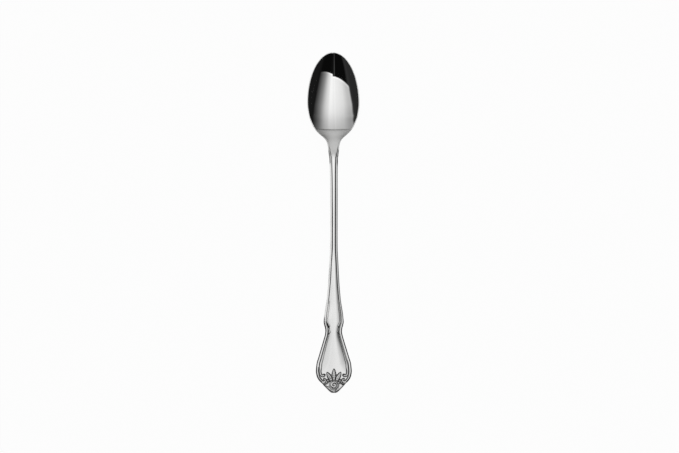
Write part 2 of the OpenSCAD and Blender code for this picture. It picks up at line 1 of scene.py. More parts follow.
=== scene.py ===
"""Iced tea spoon: a long slender spoon struck from one blank of polished stainless steel.

Each zone of the blank and each raised ornament of its handle is one closed mesh, made at fine
resolution from the same driving sizes as the CAD solid that it stands for. Its threads and
grooves are finer than the CAD's, and it adds veins, teeth, petals, bevels and painted shade
in the recesses, which stands in for the shade and dark reflections there.
Frame: +Y runs from the handle's tip to the bowl's tip and +Z up out of the bowl.
Stations are distances from the bowl's tip along the length. Sizes are in millimetres unless
they say otherwise, and are turned into metres where a mesh is made.
In the functions, x is a place across the spoon, s a station, and t, u, v and q are shares.
"""
import json
import math

import bpy
import numpy as np
from mathutils import Matrix, Vector


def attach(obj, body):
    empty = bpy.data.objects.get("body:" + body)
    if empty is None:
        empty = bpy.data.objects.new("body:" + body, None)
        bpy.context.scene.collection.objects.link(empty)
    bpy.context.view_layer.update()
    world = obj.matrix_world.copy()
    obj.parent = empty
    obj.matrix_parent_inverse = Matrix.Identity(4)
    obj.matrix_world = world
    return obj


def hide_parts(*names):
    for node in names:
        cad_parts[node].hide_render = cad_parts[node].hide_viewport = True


MM = 0.001
BODY = "root"

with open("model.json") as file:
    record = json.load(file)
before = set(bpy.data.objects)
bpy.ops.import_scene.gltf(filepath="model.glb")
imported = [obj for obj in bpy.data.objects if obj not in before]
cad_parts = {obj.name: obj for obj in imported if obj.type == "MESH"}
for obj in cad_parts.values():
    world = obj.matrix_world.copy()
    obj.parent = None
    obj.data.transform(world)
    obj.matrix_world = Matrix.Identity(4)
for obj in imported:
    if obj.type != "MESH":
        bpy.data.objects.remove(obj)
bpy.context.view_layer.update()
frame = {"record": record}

# Sizes of the blank
bowl_length, bowl_width, bowl_front = 46, 29.2, 28.3
bowl_depth, bowl_floor, hollow_lead = 6.8, 1.3, 0.54
steepest_side = 0.85
rim_width, rim_height, tip_drop = 0.5, 0.2, 0.8
neck_length, neck_width, neck_thickness, neck_rise = 14, 6.1, 3.4, 1.6
collar_length = 6
shank_length, shank_width, shank_head_width = 78, 4.1, 4.7
shank_thickness, arch_rise = 2.6, 1
shoulder_length, flare_width, shoulder_width, waist_width = 17.5, 7.9, 11.2, 9.3
panel_length, handle_width, handle_edge = 20, 20.1, 1.4
handle_swell, panel_crown = 0.5, 1.3
terminal_length, tip_width, tip_rise = 14.5, 2, 1
rest_flat_depth = 0.1
hollow_power, back_power = 1, 0.75
rim_wall, wall_share = 0.45, 0.45
tip_angle = 2.5

# Sizes of the threads and grooves
thread_width, thread_end_width, thread_height = 0.95, 1.5, 0.3
inner_thread_width, inner_end_width = 0.85, 1.1
groove_width, groove_depth, lobe_reach = 0.28, 0.14, 1.4
inner_rise, stem_rise_share, handle_rise_share = 0.15, 0.6, 0.8
flank_width, edge_drop, top_share, stem_drop = 0.6, 0.27, 0.9, 0.08
bead_power, bead_foot = 6, 0.2
collar_lead, collar_fade = 2, 4
pillow_power, band_share = 2.6, 0.74

# Sizes of the scrolls, which are the curled ends of the threads. Turns are in degrees, and the
# places where a drop has faded, a bulge starts and the rounded end starts are shares of the turn.
relief_height, sink = 0.5, 0.12
hook_radius, hook_end_share, hook_turn, hook_bulge = 1.4, 0.8, 125, 0.2
curl_radius, curl_end_share, curl_turn, curl_bulge = 1.27, 0.48, 215, 0.15
curl_width_share, curl_height_share = 0.5, 0.75
ridge_flat, ridge_power, ridge_foot = 0.3, 1.3, 0.3
bevel_slope, drop_fade = 0.8, 0.12
scroll_clearance, clearance_lead = 0.2, 2
end_start, end_share = 0.82, 0.06
bulge_start, bulge_power = 0.35, 1.4

# Sizes of the leaves. The values of their teeth, midrib and veins are shares.
leaf_length, leaf_width, leaf_height, leaf_power = 5.7, 2.3, relief_height * 0.9, 4
leaf_gap, leaf_tuck = 0.12, 0.1
middle_teeth = 5
tooth_depth, tooth_end, tooth_power = 0.2, 0.86, 1.5
midrib_depth, midrib_width = 0.35, 0.12
vein_depth, vein_width, vein_lean = 0.15, 0.18, 0.9
leaf_half_shares = [(0, 0.6), (0.35, 1), (0.75, 0.62), (1, 0.03)]
leaf_height_shares = [(0, 0.9), (0.4, 1), (1, 0.3)]

# Leaves on each side: name, degrees from the middle leaf, share of its length and width, teeth
side_leaves = [("leaf_side_", 28.5, 0.85, 1, 4), ("leaf_small_", 53, 0.26, 0.45, 2)]

# Sizes of the rosette. Bases, rises, tilts and depths are shares of its height, and the lip's
# place and width and the gap's lead are shares of the way from the heart to the edge.
rosette_width, rosette_inset, rosette_reach, rosette_height = 10.5, 4.3, 3.1, 0.85
rosette_margin, rosette_squareness, tip_side = 0.15, 1.35, (-0.35, 0.35)
petal_count, petal_twist, petal_notch, notch_width = 4, math.radians(30), 0.07, 0.35
petal_base, petal_rise, petal_tilt, petal_bevel = 0.44, 0.12, 0.1, 0.65
lip_rise, lip_place, lip_width = 0.2, 0.78, 0.16
gap_depth, gap_width, gap_lead = 0.34, 0.2, 0.25
inner_count, inner_phase, inner_radius, inner_half = 3, 0.35, 2.8, 0.3
inner_base, inner_tilt, inner_gap_depth, inner_gap_width = 0.78, 0.12, 0.25, 0.16
heart_radius, heart_pitch, heart_base, heart_power = 2.2, 1.35, 0.5, 0.8
heart_eye, heart_blend = 0.25, 0.32
moat_depth, moat_offset, moat_width = 0.3, 0.12, 0.2

# Sizes of the trench round the ornament and of the tip's bevel
trench_offset, trench_width, trench_end = 0.12, 0.14, 0.3
tip_chamfer, tip_chamfer_slope, tip_lead = 0.8, 0.8, 1

# Painted shade in the recesses, which stands in for the shade and dark reflections there, and is
# darker or lighter on each side as the light falls. Side -1 is left and 1 is right. The outer groove
# has its shares on the stem, at the flare and at the panel, and the inner groove has them at the
# shoulder and the panel.
outer_groove_shade = {-1: (0.9, 0.2, 0.8), 1: (1, 0.3, 0.3)}
inner_groove_shade = {-1: (0.15, 0.45), 1: (0.6, 0.8)}
groove_shade_fade, groove_shade_lead = 1, 6
thread_foot, face_edge_shade = (0.87, 0.94), 0.5
leaf_edge_shade, midrib_shade, midrib_line = (0.85, 1), 0.4, 0.1
vein_shade, vein_line = 0.25, 0.12
gap_line, gap_shade_lead, inner_gap_line = 0.16, (0.02, 0.2), 0.12
petal_edge_shade, petal_edge_line = 0.8, (0.3, 0.6)
# The ring round the heart: the place and width of its painted shade, and ring_fade, which makes that shade
# lighter on the left side than on the right.
ring_offset, ring_width, ring_fade = 0.1, 0.2, 0.35
heart_shade, heart_shade_power = 0.5, 3
trench_shade = (0.08, 0.38)

# Fineness of the meshes: points across and rows along
thread_points, crown_points, back_points = 16, 40, 48
bowl_points, rim_points, bowl_front_rows, bowl_back_rows = 120, 12, 110, 70
ridge_points, edge_rows, curl_rows = 18, 60, 80
leaf_points, leaf_rows = 29, 90
rosette_points, rosette_rings = 360, 74
terminal_points, terminal_rows = 181, 190

# Stations and heights of the blank
bowl_end = bowl_length
neck_end = bowl_end + neck_length
collar_start = neck_end - collar_length
shank_end = neck_end + shank_length
waist = shank_end + shoulder_length
panel_end = waist + panel_length
overall_length = panel_end + terminal_length
rosette_at = overall_length - rosette_inset

lead_place = (math.sqrt(1 + 3 * hollow_lead ** 2) - 1) / (3 * hollow_lead)
hollow_peak = (1 - lead_place ** 2) * (1 + hollow_lead * lead_place)
bowl_swell = bowl_depth + bowl_floor - rim_wall
rim_z = bowl_swell * hollow_peak + rim_wall - rest_flat_depth
neck_z = rim_z + neck_rise
arch_z = neck_z + arch_rise
handle_z = handle_edge + handle_swell - rest_flat_depth


# Curves
def mix(a, b, t):
    return a + (b - a) * t


def ramp(x, start, end):
    t = np.clip((x - start) / (end - start), 0, 1)
    return t * t * (3 - 2 * t)


def curve(knots, x):
    """A smooth curve through knots of (station, value), which never overshoots them."""
    k = np.asarray(knots, float)
    x = np.asarray(x, float)
    width = np.diff(k[:, 0])
    secant = np.diff(k[:, 1]) / width
    slope = np.zeros(len(k))
    slope[-1] = secant[-1]
    before, after = secant[:-1], secant[1:]
    total = np.where(before * after > 0, before + after, 1)
    slope[1:-1] = np.where(before * after > 0, 2 * before * after / total, 0)
    i = np.clip(np.searchsorted(k[:, 0], x, side="left") - 1, 0, len(k) - 2)
    w = width[i]
    t = (x - k[i, 0]) / w
    y = ((1 + 2 * t) * (1 - t) ** 2 * k[i, 1] + t * (1 - t) ** 2 * w * slope[i]
         + t * t * (3 - 2 * t) * k[i + 1, 1] - t * t * (1 - t) * w * slope[i + 1])
    return np.where(x <= k[0, 0], k[0, 1], y)


def hump(t, power):
    return np.maximum(0, 1 - t * t) ** power


def bell(x, width):
    return np.exp(-(x / width) ** 2)


def zone_knots(shares, start, end, low, high):
    """Knots of the outline from shares of a zone's length and of its range of widths."""
    return [(mix(start, end, p), mix(low, high, v) / 2) for p, v in shares]


outline = (
    [(bowl_front, bowl_width / 2)]
    + zone_knots([(0.4, 0.938), (0.62, 0.843), (0.8, 0.73), (0.9, 0.632), (1, 0.503)],
                 bowl_front, bowl_end, 0, bowl_width)
    + zone_knots([(0.107, 0.386), (0.229, 0.286), (0.35, 0.238)], bowl_end, neck_end, 0, bowl_width)
    + zone_knots([(0.47, 1.03), (0.586, 0.974), (0.707, 0.93), (0.83, 0.862), (0.93, 0.78)],
                 bowl_end, neck_end, 0, neck_width)
    + [(neck_end, shank_head_width / 2)]
    + zone_knots([(0.05, 0.6), (0.13, 0.25), (0.3, 0.06), (0.54, 0)],
                 neck_end, shank_end, shank_width, shank_head_width)
    + zone_knots([(0.62, 0.02), (0.69, 0.13), (0.75, 0.28), (0.82, 0.42), (0.88, 0.56), (0.96, 0.84)],
                 neck_end, shank_end, shank_width, flare_width)
    + [(shank_end, flare_width / 2)]
    + zone_knots([(0.23, 0.385), (0.43, 0.72), (0.61, 0.93), (0.71, 1)],
                 shank_end, waist, flare_width, shoulder_width)
    + zone_knots([(0.81, 0.68), (0.905, 0.2)], shank_end, waist, waist_width, shoulder_width)
    + [(waist, waist_width / 2)]
    + zone_knots([(0.085, 0.035), (0.25, 0.2), (0.5, 0.475), (0.755, 0.76), (0.9, 0.92), (1, 0.967)],
                 waist, panel_end, waist_width, handle_width)
    + zone_knots([(0.17, 1), (0.29, 0.978), (0.407, 0.93), (0.524, 0.83), (0.634, 0.672),
                  (0.752, 0.52), (0.869, 0.358), (0.952, 0.235), (0.986, 0.16)],
                 panel_end, overall_length, 0, handle_width)
    + [(overall_length, tip_width / 2)]
)


def half_width(s):
    return curve(outline, s)


def edge_slope(s):
    return (half_width(s + 0.1) - half_width(s - 0.1)) / 0.2


def slant(s):
    return np.sqrt(1 + edge_slope(s) ** 2)


rest_station = mix(waist, panel_end, 0.3)
ease_station = mix(waist, panel_end, 0.94)
terminal_slope = tip_rise / terminal_length
ease_z = handle_z + terminal_slope * (ease_station - rest_station) / 2
panel_end_z = ease_z + terminal_slope * (panel_end - ease_station)
side_view = [
    (0, rim_z - tip_drop),
    (bowl_front, rim_z),
    (bowl_end, mix(rim_z, neck_z, 0.5)),
    (neck_end, mix(neck_z, arch_z, 0.28)),
    (mix(neck_end, shank_end, 0.2), arch_z),
    (mix(neck_end, shank_end, 0.5), mix(handle_z, arch_z, 0.79)),
    (shank_end, mix(handle_z, arch_z, 0.29)),
    (waist, mix(handle_z, arch_z, 0.05)),
    (rest_station, handle_z),
    (ease_station, ease_z),
    (panel_end, panel_end_z),
]


def edge_z(s):
    """Height of the blank's upper edge. The terminal's face is one sloping plane."""
    s = np.asarray(s, float)
    return np.where(s >= panel_end, panel_end_z + terminal_slope * (s - panel_end),
                    curve(side_view, np.minimum(s, panel_end)))


heel_start, heel_end = mix(bowl_front, bowl_end, 0.8), mix(bowl_front, bowl_end, 0.855)
hollow_end = mix(bowl_end, neck_end, 0.65)
heel_share = 0.4
fall_share = hollow_lead * (heel_start - bowl_front) / bowl_front
dish_curve = [(heel_start, bowl_depth * heel_share)] + [
    (mix(heel_end, hollow_end, p), bowl_depth * v)
    for p, v in [(0, 0.3), (0.25, 0.19), (0.58, 0.06), (1, 0)]
]


def hollow(s):
    """Depth of the hollow behind its widest section: a long curve up to a low step at the heel."""
    t = (s - bowl_front) / (heel_start - bowl_front)
    long_curve = bowl_depth * (1 - fall_share * t - (1 - heel_share - fall_share) * t * t)
    return np.where(s < heel_start, long_curve, curve(dish_curve, np.minimum(s, hollow_end)))


def back_fullness(s):
    return mix(hollow_power, back_power, ramp(s, bowl_end, neck_end))


neck_wall = neck_thickness * wall_share
shank_wall = shank_thickness * wall_share
wall_curve = [
    (bowl_front, rim_wall),
    (bowl_end, mix(rim_wall, neck_wall, 0.5)),
    (mix(bowl_end, neck_end, 0.5), neck_wall),
    (mix(neck_end, shank_end, 0.15), shank_wall),
    (mix(neck_end, shank_end, 0.7), shank_wall),
    (shank_end, handle_edge),
    (overall_length, handle_edge),
]
swell_curve = [
    (bowl_front, bowl_swell),
    (mix(bowl_front, bowl_end, 0.2), bowl_swell * 0.945),
    (mix(bowl_front, bowl_end, 0.4), bowl_swell * 0.83),
    (mix(bowl_front, bowl_end, 0.6), bowl_swell * 0.68),
    (mix(bowl_front, bowl_end, 0.8), bowl_swell * 0.51),
    (mix(bowl_end, neck_end, 0.12), mix(neck_thickness - neck_wall, bowl_swell, 0.16)),
    (mix(bowl_end, neck_end, 0.5), neck_thickness - neck_wall),
    (mix(neck_end, shank_end, 0.15), shank_thickness - shank_wall),
    (mix(neck_end, shank_end, 0.7), shank_thickness - shank_wall),
    (waist, handle_swell),
    (overall_length, handle_swell),
]
inner_start = mix(shank_end, waist, 0.15)
first_lobe = mix(shank_end, waist, 0.82)
lobe_gap = mix(shank_end, waist, 0.905)
second_lobe = mix(waist, panel_end, 0.02)
lobe_end = mix(waist, panel_end, 0.1)
height_curve = [
    (bowl_end, rim_height),
    (collar_start, rim_height * 0.4),
    (mix(collar_start, neck_end, 0.2), thread_height),
    (mix(collar_start, neck_end, 0.48), thread_height),
    (mix(collar_start, neck_end, 0.62), thread_height * 0.2),
    (mix(collar_start, neck_end, 0.76), thread_height),
    (overall_length, thread_height),
]
outer_curve = [
    (bowl_end, rim_width),
    (neck_end, thread_width),
    (shank_end, thread_width),
    (waist, thread_width * 1.25),
    (mix(waist, panel_end, 0.4), thread_width * 1.35),
    (panel_end, thread_end_width),
]
inner_curve = [
    (shank_end, groove_width),
    (mix(shank_end, waist, 0.3), inner_thread_width * 0.8),
    (mix(shank_end, waist, 0.66), inner_thread_width * 0.8),
    (first_lobe, lobe_reach),
    (lobe_gap, lobe_reach * 0.3),
    (second_lobe, lobe_reach * 0.85),
    (lobe_end, groove_width * 1.6),
    (mix(waist, panel_end, 0.3), inner_thread_width * 0.6),
    (panel_end, inner_end_width),
]
crown_curve = [
    (collar_start, 0),
    (mix(collar_start, neck_end, 0.5), thread_height),
    (mix(neck_end, shank_end, 0.7), thread_height),
    (mix(shank_end, waist, 0.6), panel_crown * 0.5),
    (mix(waist, panel_end, 0.25), panel_crown),
    (mix(waist, panel_end, 0.4), panel_crown),
    (mix(waist, panel_end, 0.8), panel_crown),
    (panel_end, panel_crown * 0.65),
    (mix(panel_end, overall_length, 0.45), 0),
]
hook_foot, curl_foot = mix(panel_end, overall_length, 0.31), mix(panel_end, overall_length, 0.607)


def wall(s):
    return curve(wall_curve, s)


def swell(s):
    return curve(swell_curve, s)


def outer_band(s):
    return curve(outer_curve, np.minimum(s, panel_end))


def inner_band(s):
    return curve(inner_curve, np.minimum(s, panel_end))


def thread_rise(s):
    return curve(height_curve, s)


def groove(s):
    start, full = mix(bowl_end, collar_start, 0.7), mix(collar_start, neck_end, 0.1)
    return groove_depth * ramp(s, start, full)


def crown_height(s):
    return np.where(s <= collar_start, 0, curve(crown_curve, np.minimum(s, crown_curve[-1][0])))


def dip(s, x):
    """Depth of the bowl's hollow at a place behind its widest section."""
    half = half_width(s) - rim_width * slant(s)
    return hollow(s) * hump(np.clip(x / half, -1, 1), hollow_power)


# Meshes
def add_mesh(name, points, faces, slot, nodes, flat=(), sharp=40, recess_shade=None):
    """A closed mesh in millimetres becomes a piece of the spoon, which stands for CAD nodes.
    Its recess shade is 1 where shade is painted into the grooves and outlines, and 0 on the open surface.
    Edges stay sharp round the flat faces and where the mesh turns by more than sharp degrees."""
    mesh = bpy.data.meshes.new(name)
    mesh.from_pydata((np.asarray(points) * MM).tolist(), [], faces)
    dark = mesh.attributes.new("recess_shade", "FLOAT", "POINT")
    dark.data.foreach_set("value", np.zeros(len(points)) if recess_shade is None else np.ravel(recess_shade))
    smooth = np.ones(len(mesh.polygons), bool)
    smooth[list(flat)] = False
    mesh.polygons.foreach_set("use_smooth", smooth)
    mesh.set_sharp_from_angle(angle=math.radians(sharp))
    mesh.update()
    piece = bpy.data.objects.new(name, mesh)
    bpy.context.scene.collection.objects.link(piece)
    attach(piece, BODY)
    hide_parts(*nodes)
    piece.data.materials.append(MATERIALS[slot])


def tube_faces(rows, count):
    """Quads of a closed tube through rows of points, with the same count of points in each."""
    a = np.arange(rows - 1)[:, None] * count + np.arange(count)[None, :]
    b = np.arange(rows - 1)[:, None] * count + (np.arange(count) + 1)[None, :] % count
    return np.stack([a, a + count, b + count, b], axis=-1).reshape(-1, 4)


def loft(sections):
    """Points and faces of a skin through closed sections, and the numbers of its two end faces."""
    sections = np.asarray(sections, float)
    rows, count = sections.shape[:2]
    faces = tube_faces(rows, count).tolist()
    faces.append(list(range(count)))
    faces.append(list(range(rows * count - 1, (rows - 1) * count - 1, -1)))
    return sections.reshape(-1, 3), faces, [len(faces) - 2, len(faces) - 1]


def flipped(faces):
    return [face[::-1] for face in faces]


def cosine(count):
    """Shares from 0 to 1 that lie closer together at both ends."""
    return (1 - np.cos(np.linspace(0, math.pi, count + 1))) / 2


def thread_profile(u, width, rise, drop):
    """Height of the outer thread across its width: a buffed outer flank, a flat top and a foot."""
    flank = np.minimum(1, u * width / flank_width)
    return ((rise + drop) * flank - drop) * (1 - ramp(u, top_share, 1))


def groove_shade_shares(s, side):
    """How dark the painted shade in the outer and the inner groove is along one side: -1 is left and 1 is
    right.
    """
    flare, below = ramp(s, shank_end, inner_start + groove_shade_fade), ramp(s, lobe_gap, lobe_end)
    last = ramp(s, panel_end - groove_shade_lead, panel_end)
    on_stem, at_flare, at_panel = outer_groove_shade[side]
    outer = mix(mix(mix(on_stem, at_flare, flare), at_panel, below), 1, last)
    at_shoulder, at_panel = inner_groove_shade[side]
    return outer, mix(mix(at_shoulder, at_panel, below), 1, last)


def side_profile(s, has_inner, side):
    """Distance in from the edge, height above it, and painted recess shade, for one side of each section.
    """
    u, v = cosine(thread_points), np.linspace(0, 1, thread_points // 2 + 1)[1:-1]
    bead, dent = 1 - (2 * u - 1) ** bead_power, np.sin(math.pi * v)
    column = s[:, None]
    outer, deep = outer_band(column), groove(column)
    open_share = deep / groove_depth
    worn_and_shaded = ramp(column, mix(shank_end, waist, 0.5), waist)
    collar = ramp(column, collar_start, collar_start + collar_lead)
    collar = collar * (1 - ramp(column, neck_end, neck_end + collar_fade))
    rise = thread_rise(column) * mix(1, mix(stem_rise_share, handle_rise_share, worn_and_shaded), open_share)
    drop = edge_drop * np.maximum(worn_and_shaded, collar) + stem_drop * open_share * (1 - worn_and_shaded)
    # Painted shade: at the inner foot of the outer thread, in the grooves, at the feet of the inner bead,
    # and at the crown's edge. Its shares differ between the left and the right side.
    outer_mark, inner_mark = groove_shade_shares(column, side)
    far = [outer * u, outer + groove_width * v]
    high = [thread_profile(u, outer, rise, drop), -deep * dent]
    dark = [open_share * ramp(u, *thread_foot) * outer_mark, open_share * (v * 0 + 1) * outer_mark]
    reach = outer + groove_width
    if has_inner:
        inner = inner_band(column)
        start = ramp(column, shank_end, inner_start)
        bead_dark = (1 - ramp(bead, 0, bead_foot)) * np.where(u < 0.5, outer_mark, inner_mark)
        far += [reach + inner * u, reach + inner + groove_width * v]
        high += [inner_rise * start * bead, -deep * start * dent]
        dark += [start * bead_dark, start * (v * 0 + 1) * inner_mark]
        reach = reach + inner + groove_width
    far.append(reach)
    high.append(reach * 0)
    dark.append(reach * 0 + face_edge_shade)
    return np.hstack(far), np.hstack(high), np.hstack(dark), reach[:, 0]


def face_rows(s, has_inner):
    """Face of the blank at each station, from its left edge to its right edge, and its painted recess
    shade.
    """
    far, high, dark, reach = side_profile(s, has_inner, 1)
    left_dark = side_profile(s, has_inner, -1)[2]
    half = half_width(s)
    squeeze = np.minimum(slant(s), band_share * half / reach)
    x = half[:, None] - far * squeeze[:, None]
    share = np.linspace(-1, 1, crown_points + 1)[1:-1]
    middle_x = (half - reach * squeeze)[:, None] * share
    crown_half = half - (outer_band(s) + groove_width) * squeeze
    all_x = np.hstack([-x, middle_x, x[:, ::-1]])
    from_middle = np.minimum(1, np.abs(all_x) / crown_half[:, None])
    pillow = crown_height(s)[:, None] * (1 - from_middle ** pillow_power)
    all_z = np.hstack([high, middle_x * 0, high[:, ::-1]]) + pillow
    column = s[:, None]
    z = edge_z(column) + all_z - dip(column, all_x)
    y = overall_length / 2 - column + all_x * 0
    return np.stack([all_x, y, z], axis=-1), np.hstack([left_dark, middle_x * 0, dark[:, ::-1]])


def back_rows(s):
    """Underside of the blank at each station, from its right edge to its left edge."""
    across = np.cos(np.linspace(0, math.pi, back_points + 1))[None, :]
    column = s[:, None]
    z = edge_z(column) - wall(column) - swell(column) * hump(across, back_fullness(column))
    x = half_width(column) * across
    return np.stack([x, overall_length / 2 - column + x * 0, np.maximum(z, 0)], axis=-1)


def add_plate(name, face, dark, back, slot, nodes):
    """A part of the blank between the rows of its face, with their painted recess shade, and of its back.
    """
    points, faces, flat = loft(np.concatenate([face, back], axis=1))
    recess_shade = np.hstack([dark, back[:, :, 0] * 0])
    add_mesh(name, points, faces, slot, nodes, flat=flat, recess_shade=recess_shade)


def stretch(name, s, has_inner, slot, nodes):
    """A stretch of the blank through the given stations."""
    face, dark = face_rows(s, has_inner)
    add_plate(name, face, dark, back_rows(s), slot, nodes)


def hollow_section(across, half, depth, steepest):
    """Depth of the hollow across one section: a parabola whose sides stop at the steepest slope."""
    turn = min(1, steepest * half / (2 * depth))
    lost = depth * (1 - turn ** 2) - steepest * half * (1 - turn)
    return np.where(np.abs(across) < turn, depth * (1 - across ** 2) - lost,
                    steepest * half * (1 - np.abs(across)))


def bowl_row(s_out, half_out, s_in, half_in, depth_in, depth_out, steepest):
    """One section of the bowl, whose rim is a rounded bead between an outer and an inner line."""
    across = -np.cos(np.linspace(0, math.pi, bowl_points + 1))
    u = cosine(rim_points)[:-1]
    bead = np.sqrt(np.maximum(0, 1 - (2 * u - 1) ** 2)) * rim_height
    s_rim, half_rim = mix(s_out, s_in, u), mix(half_out, half_in, u)
    left = np.stack([-half_rim, s_rim, edge_z(s_rim) + bead], axis=-1)
    right = left[::-1] * [-1, 1, 1]
    inside_z = edge_z(s_in) - hollow_section(across, half_in, depth_in, steepest)
    inside = np.stack([half_in * across, s_in + across * 0, inside_z], axis=-1)
    under_z = edge_z(s_out) - wall(s_out) - depth_out * hump(across, hollow_power)
    under = np.stack([-half_out * across, s_out + across * 0, under_z], axis=-1)
    row = np.concatenate([left, inside, right, under])
    row[:, 1] = overall_length / 2 - row[:, 1]
    row[:, 2] = np.maximum(row[:, 2], 0)
    return row


def make_bowl():
    """The bowl: rows round its front by angle, then rows by station back to the neck."""
    rows = []
    for angle in np.radians(mix(tip_angle, 90, np.linspace(0, 1, bowl_front_rows))):
        share = math.sin(angle) ** (2 * hollow_power) * (1 + hollow_lead * math.cos(angle))
        lean = math.hypot(1, bowl_width / 2 / bowl_front / math.tan(angle))
        back_share, side_share = 1 - math.cos(angle), math.sin(angle)
        rows.append(bowl_row(
            bowl_front * back_share, bowl_width / 2 * side_share,
            rim_width + (bowl_front - rim_width) * back_share, (bowl_width / 2 - rim_width) * side_share,
            bowl_depth * share, bowl_swell * share, steepest_side / lean))
    for s in np.linspace(bowl_front, bowl_end, bowl_back_rows)[1:]:
        half, lean = float(half_width(s)), float(slant(s))
        rows.append(bowl_row(s, half, s, half - rim_width * lean, float(hollow(s)), float(swell(s)),
                             steepest_side / lean))
    points, faces, flat = loft(rows)
    add_mesh("bowl_of_spoon", points, faces, "bowl_steel", ["bowl"], flat=flat)


# Ornament on the terminal
def on_seat(x, s, h):
    """A place on the terminal's face: x across, s the station, and h the height above the face."""
    x, s, h = np.broadcast_arrays(np.asarray(x, float), s, h)
    from_middle = np.minimum(1, np.abs(x) / (half_width(panel_end) - outer_band(panel_end) - groove_width))
    crown = crown_height(s) * (1 - from_middle ** pillow_power)
    return np.stack([x, overall_length / 2 - s, edge_z(s) + h + crown], axis=-1)


def sunk_ends(place, drops=0):
    """Both lower corners of each section, which are sunk into the face."""
    ends = place[:, [-1, 0]]
    return on_seat(ends[..., 0], ends[..., 1], -sink - drops)


def ridge(path, across, widths, heights, drops):
    """Sections of a rounded ridge, and its painted shade at the foot of one flank: path and across are in
    (x, s).
    Where the ridge follows the blank's edge, its outer flank is one bevel that ends lower."""
    u = np.linspace(-1, 1, ridge_points + 1)
    lift = 1 - np.clip((np.abs(u) - ridge_flat) / (1 - ridge_flat), 0, 1) ** ridge_power
    place = path[:, None, :] + across[:, None, :] * (u[None, :, None] * widths[:, None, None] / 2)
    from_edge = (u + 1)[None, :] / 2 * widths[:, None]
    flank = bevel_slope * from_edge - drops[:, None]
    bevelled = np.minimum(heights[:, None] * np.where(u < ridge_flat, 1, lift), flank)
    high = mix(heights[:, None] * lift, bevelled, drops[:, None] / edge_drop)
    top = on_seat(place[..., 0], place[..., 1], high)
    low = sunk_ends(place, np.stack([drops * 0, drops], axis=-1))
    # Painted shade at the feet of the ridge, on the flank where u > 0 only, and on the sunk corners.
    dark = np.concatenate([(1 - ramp(lift, 0, ridge_foot)) * (u > 0), [1, 1]])
    return np.concatenate([top, low], axis=1), np.tile(dark, (len(path), 1))


def inward(s):
    return np.stack([-1 / slant(s), edge_slope(s) / slant(s)], axis=-1)


def along_edge(s, depth):
    s = np.asarray(s, float)
    return np.stack([half_width(s), s], axis=-1) + depth * inward(s)


def turned(v, angle):
    c, n = np.cos(angle), np.sin(angle)
    return np.stack([v[..., 0] * c - v[..., 1] * n, v[..., 0] * n + v[..., 1] * c], axis=-1)


def thread_path(s, t, depth, from_radius, to_radius, turn):
    """Middle line of a thread and the direction across it, in (x, s). At the stations s it
    follows the terminal's edge at a depth, and at the shares t of its turn it curls round a centre."""
    centre = along_edge(s[-1], depth + from_radius)
    edge_path, edge_across = along_edge(s, depth), inward(s)
    edge_path[0] = (half_width(panel_end) - depth * slant(panel_end), panel_end)
    edge_across[0] = (-slant(panel_end), 0)
    out = turned(-inward(s[-1])[None, :], np.radians(turn) * t)
    radius = mix(from_radius, to_radius, ramp(t, 0, 1))
    path = np.concatenate([edge_path, centre + radius[:, None] * out])
    return path, np.concatenate([edge_across, -out])


def curled_thread(name, side, depth, width, end_width, rise, top, drop, foot,
                  from_radius, to_radius, turn, bulge):
    """A thread that follows the terminal's edge, curls inwards from its foot and ends in a lobe."""
    s, t = np.linspace(panel_end, foot, edge_rows), np.linspace(0, 1, curl_rows + 1)[1:]
    path, across = thread_path(s, t, depth, from_radius, to_radius, turn)
    path[:, 0] *= side
    across[:, 0] *= side
    end = np.sqrt(1 - np.clip((t - end_start) / (1 - end_start), 0, 1) ** 2)
    bulged = np.clip((t - bulge_start) / (1 - bulge_start), 0, 1) ** bulge_power
    size = (1 + bulge * np.sin(math.pi * bulged)) * mix(end_share, 1, end)
    widths = np.concatenate([s * 0 + width, mix(width, end_width, ramp(t, 0, 1)) * size])
    heights = np.concatenate([mix(rise, top, ramp(s, panel_end, foot)), top * size])
    drops = drop * np.concatenate([s * 0 + 1, 1 - ramp(t, 0, drop_fade)])
    clear = scroll_clearance * ramp(path[:, 1], panel_end, panel_end + clearance_lead) * (drops == 0)
    sections, dark = ridge(path, across, widths - clear, heights, drops)
    points, faces, flat = loft(sections)
    faces = flipped(faces) if side > 0 else faces
    add_mesh(name, points, faces, "scroll_steel", ["scrolls"], flat=flat, sharp=50, recess_shade=dark)
    return path, widths


